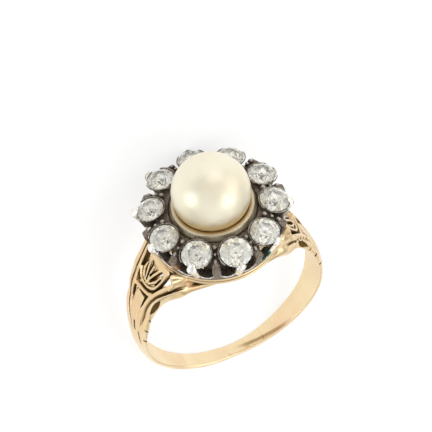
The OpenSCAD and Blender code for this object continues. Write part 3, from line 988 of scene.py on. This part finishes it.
class ClusterRingLook(bpy.types.PropertyGroup):
    """Colours and sizes that a user would change."""
    gold: color("Gold", "most of the gold", (0.80, 0.585, 0.32))
    gold_rosy: color("Rosy gold", "rosier patches", (0.83, 0.54, 0.33))
    gold_light: color("Worn gold", "rubbed gold", (0.965, 0.80, 0.525))
    # Colour of the painted shade along the inside of the shank
    gold_shade: color("Gold streak", "the streak inside the shank", (0.34, 0.19, 0.06))
    # Colour of the grime and painted shade in the gold's grooves and hollows
    gold_deep: color("Dirt in the gold", "grooves", (0.17, 0.095, 0.03))
    copper: color("Copper", "solder that shows", (0.66, 0.32, 0.12))
    silver: color("Worn silver", "rubbed silver", (0.92, 0.88, 0.81))
    silver_dark: color("Black silver", "blackened silver", (0.085, 0.066, 0.05))
    silver_tarnish: color("Tarnish", "half worn silver", (0.36, 0.30, 0.24))
    verdigris: color("Verdigris", "the green spot", (0.12, 0.34, 0.26))
    collar: color("Collar", "the collar's lip", (0.60, 0.51, 0.355))
    # Colour of the painted shade on the collar's side
    collar_painted_shade: color("Collar shade", "the collar's side", (0.30, 0.25, 0.175))
    collar_bowl: color("Collar bowl", "the gap round the pearl", (0.21, 0.135, 0.055))
    pearl: color("Pearl", "most of the pearl", (0.91, 0.845, 0.67))
    pearl_warm: color("Pearl shade", "warmer patches", (0.87, 0.78, 0.58))
    # Colour of the painted gold reflection on the pearl's underside
    pearl_gold_reflection: color("Pearl foot", "the pearl by the collar", (0.92, 0.64, 0.27))
    # Light and dark facet colours of the stones' painted sparkle
    stone: color("Stone", "a stone's light facets", (1.0, 0.98, 0.865))
    stone_sparkle_dark: color("Stone shade", "a stone's dark facets", (0.98, 0.935, 0.78))
    cell: FloatProperty(name="Detail", description="Grid size of the carved metal",
                        default=0.08, min=0.04, max=0.3)
    flutes: IntProperty(name="Cuts round the collar", description="Engraved cuts",
                        default=84, min=12, max=160)
    light: FloatProperty(name="Light", description="Strength of the studio light", default=1.0,
                         min=0.0, max=10.0)


def look():
    return bpy.context.scene.cluster_ring


class RING_OT_pearl(bpy.types.Operator):
    """Builds the slightly off-round pearl"""
    bl_idname = "ring.pearl"
    bl_label = "Pearl"

    def execute(self, context):
        rings, around = 64, 96
        verts, faces = [(0, 0, 1)], []
        for i in range(1, rings):
            t = math.pi * i / rings
            verts += [(math.sin(t) * math.cos(2 * math.pi * j / around),
                       math.sin(t) * math.sin(2 * math.pi * j / around), math.cos(t))
                      for j in range(around)]
        verts.append((0, 0, -1))
        for j in range(around):
            k = (j + 1) % around
            faces.append([0, 1 + j, 1 + k])
            last = 1 + (rings - 2) * around
            faces.append([len(verts) - 1, last + k, last + j])
            for i in range(rings - 2):
                a, b = 1 + i * around, 1 + (i + 1) * around
                faces.append([a + j, b + j, b + k, a + k])
        p = np.array(verts)
        dent = (0.006 + 0.005 * np.sin(2.1 * p[:, 0] + 1.3) * np.cos(1.7 * p[:, 1] + 0.4)
                + 0.002 * np.sin(3.3 * p[:, 2] + 2.2 * p[:, 0]))
        p = p * (PEARL_R * (1 - np.clip(dent, 0, 0.03)))[:, None] + (0, 0, PEARL_Z)
        piece = new_piece("pearl_dressed", p, faces, pearl_finish(look()))
        # low marks the underside, where the gold's reflection is painted
        store(piece.data, {"low": ramp((PEARL_Z - p[:, 2]) / PEARL_R, -0.15, 0.34)})
        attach(piece, BODY)
        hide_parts("pearl")
        return {"FINISHED"}


class RING_OT_collar(bpy.types.Operator):
    """Builds the engraved collar that holds the pearl"""
    bl_idname = "ring.collar"
    bl_label = "Collar"

    def execute(self, context):
        sphere_r = PEARL_R + 0.05
        inner = [(math.sqrt(max(sphere_r ** 2 - (z - PEARL_Z) ** 2, 0)), z)
                 for z in np.linspace(PEARL_Z - sphere_r, CUP_LIP - 0.02, 10)]
        top_r = inner[-1][0]
        profile = CUP_OUTLINE + [(top_r + 0.01, CUP_LIP - 0.02)] + inner[::-1]
        around = look().flutes * len(CUT_DEPTHS)
        verts, faces = [], []
        for j in range(around):
            turn = 2 * math.pi * j / around
            for n, (r, z) in enumerate(profile):
                if n in CUT_POINTS:
                    r -= CUT_DEPTHS[j % len(CUT_DEPTHS)]
                verts.append((r * math.cos(turn), r * math.sin(turn), z))
        n = len(profile)
        for j in range(around):
            k = (j + 1) % around
            for i in range(n - 1):
                faces.append([j * n + i, k * n + i, k * n + i + 1, j * n + i + 1])
        piece = new_piece("pearl_cup_dressed", verts, faces, collar_finish(look()))
        p = np.array(verts)
        # rim is 1 on the lip and falls off down the side, which gets painted shade
        rim = 1 - ramp(CUP_LIP - p[:, 2], 0.4, 0.75)
        bowl = 1 - ramp(np.hypot(p[:, 0], p[:, 1]), top_r + 0.03, CUP_R - 0.4)
        store(piece.data, {"rim": rim, "bowl": bowl})
        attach(piece, BODY)
        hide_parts("pearl_cup")
        return {"FINISHED"}


class RING_OT_silver(bpy.types.Operator):
    """Builds the silver head with its claws and U-shaped cuts"""
    bl_idname = "ring.silver"
    bl_label = "Silver head"

    def execute(self, context):
        reach = 7.6
        piece = carved("silver_setting_dressed", silver_field,
                       (-reach, -reach, PLATE_TOP - 0.2), (reach, reach, HEAD_H + 0.6), 0.6,
                       silver_finish(look()),
                       {"rubbed": silver_shine_and_shade, "green": green_spot})
        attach(piece, BODY)
        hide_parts("silver_setting")
        return {"FINISHED"}


class RING_OT_gold(bpy.types.Operator):
    """Builds the carved gold mount and shank"""
    bl_idname = "ring.gold"
    bl_label = "Gold mount"

    def execute(self, context):
        reach = BORE_R + 1.0
        piece = carved("gold_mount_dressed", gold_field, (-reach, -6.3, -reach),
                       (reach, 6.3, PLATE_TOP + 0.3), 0.5, gold_finish(look()),
                       {"stain": gold_stain_and_shade, "rubbed": gold_rubbed})
        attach(piece, BODY)
        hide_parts("gold_mount")
        return {"FINISHED"}


class RING_OT_stones(bpy.types.Operator):
    """Gives the ten old-cut stones their finish"""
    bl_idname = "ring.stones"
    bl_label = "Stones"

    def execute(self, context):
        material = stone_finish(look())
        for name in STONE_NODES:
            stone = frame["nodes"][name]
            stone.data.materials.clear()
            stone.data.materials.append(material)
        return {"FINISHED"}


# Where the photograph was taken from, in the ring's frame
EYE = Vector((-108.33, -345.42, 491.49))
EYE_RIGHT = Vector((0.9104, -0.4048, -0.0856))
EYE_DOWN = Vector((-0.3724, -0.7115, -0.5959))
EYE_AHEAD = Vector((0.1804, 0.5744, -0.7984))
LENS = 571.5
SENSOR = 36.0
CLIP = (0.01, 10)

# The camera's directions in the row's frame
TURN = RING.to_3x3().normalized()
RIGHT, DOWN, BACK = TURN @ EYE_RIGHT, TURN @ EYE_DOWN, -(TURN @ EYE_AHEAD)

# Lights: direction from the ring as right, down and at the camera, distance, size, watts, tint
WHITE = (1.0, 1.0, 1.0)
SOFTBOXES = {
    "left_box": ((-0.86, 0.31, 0.42), 0.3, (0.19, 0.19), 0.25, (0.85, 0.94, 1.0)),
    "right_box": ((0.77, 0.34, 0.55), 0.3, (0.19, 0.19), 0.21, (0.92, 0.97, 1.0)),
    "back_box": ((0.13, -0.79, 0.6), 0.35, (0.3, 0.25), 0.22, WHITE),
    "low_box": ((0.46, 0.82, -0.34), 0.35, (0.3, 0.3), 0.14, WHITE),
    "front_box": ((0.0, 0.9, 0.45), 0.35, (0.35, 0.35), 0.08, WHITE),
    "side_box": ((0.88, -0.33, 0.35), 0.35, (0.25, 0.25), 0.16, WHITE)}
LIGHT_CENTRE = RING @ Vector((0, 0, 8))

# The sky grows from one brightness to another between these heights
SKY_HEIGHTS = (0.04, 0.5)
SKY_LIGHT = (0.32, 0.74)

FLOOR_HALF = 1.5


def softbox(name, toward, distance, size, watts, tint):
    data = bpy.data.lights.new(name, "AREA")
    data.shape = "RECTANGLE"
    data.size, data.size_y = size
    data.energy = watts * look().light
    data.color = tint
    lamp = new_object(name, data)
    direction = (RIGHT * toward[0] + DOWN * toward[1] + BACK * toward[2]).normalized()
    lamp.location = LIGHT_CENTRE + direction * distance
    lamp.rotation_euler = (-direction).to_track_quat("-Z", "Y").to_euler()


class RING_OT_stage(bpy.types.Operator):
    """Sets the pale floor, the soft lights and the camera"""
    bl_idname = "ring.stage"
    bl_label = "Stage"

    def execute(self, context):
        mesh = bpy.data.meshes.new("floor")
        mesh.from_pydata([(x * FLOOR_HALF, y * FLOOR_HALF, 0)
                          for x, y in ((-1, -1), (1, -1), (1, 1), (-1, 1))], [], [(0, 1, 2, 3)])
        mesh.materials.append(floor_finish())
        floor = new_object("floor", mesh)
        scene = context.scene
        scene.world = scene.world or bpy.data.worlds.new("studio")
        scene.world.use_nodes = True
        tree = scene.world.node_tree
        nodes, links = tree.nodes, tree.links
        sky = nodes["Background"]
        sky.inputs["Color"].default_value = (*WHITE, 1)
        split = nodes.new("ShaderNodeSeparateXYZ")
        links.new(nodes.new("ShaderNodeTexCoord").outputs["Generated"], split.inputs[0])
        rise = nodes.new("ShaderNodeMapRange")
        rise.interpolation_type = "SMOOTHSTEP"
        for end, height, light in zip(("Min", "Max"), SKY_HEIGHTS, SKY_LIGHT):
            rise.inputs["From " + end].default_value = height
            rise.inputs["To " + end].default_value = light * look().light
        links.new(split.outputs["Z"], rise.inputs["Value"])
        links.new(rise.outputs["Result"], sky.inputs["Strength"])
        for name, settings in SOFTBOXES.items():
            softbox(name, *settings)
        data = bpy.data.cameras.new("camera")
        data.lens, data.sensor_width = LENS, SENSOR
        data.clip_start, data.clip_end = CLIP
        camera = scene.camera = new_object("camera", data)
        facing = Matrix((RIGHT, -DOWN, BACK)).transposed()
        camera.matrix_world = Matrix.Translation(RING @ EYE) @ facing.to_4x4()
        scene.view_settings.view_transform = "Standard"
        return {"FINISHED"}


STEPS = ("pearl", "collar", "stones", "silver", "gold", "stage")


class RING_PT_panel(bpy.types.Panel):
    """Lists the pieces of the ring"""
    bl_label = "Cluster Ring"
    bl_idname = "RING_PT_panel"
    bl_space_type = "VIEW_3D"
    bl_region_type = "UI"
    bl_category = "Cluster Ring"

    def draw(self, context):
        layout = self.layout
        for step in STEPS:
            layout.operator("ring." + step)
        for name in ClusterRingLook.__annotations__:
            layout.prop(context.scene.cluster_ring, name)


CLASSES = (ClusterRingLook, RING_OT_pearl, RING_OT_collar, RING_OT_stones, RING_OT_silver,
           RING_OT_gold, RING_OT_stage, RING_PT_panel)


def register():
    for found in CLASSES:
        bpy.utils.register_class(found)
    bpy.types.Scene.cluster_ring = PointerProperty(type=ClusterRingLook)


def unregister():
    del bpy.types.Scene.cluster_ring
    for found in reversed(CLASSES):
        bpy.utils.unregister_class(found)


def main():
    register()
    for step in STEPS:
        if getattr(bpy.ops.ring, step)() != {"FINISHED"}:
            raise RuntimeError("step %s didn't finish" % step)


if __name__ == "__main__":
    main()
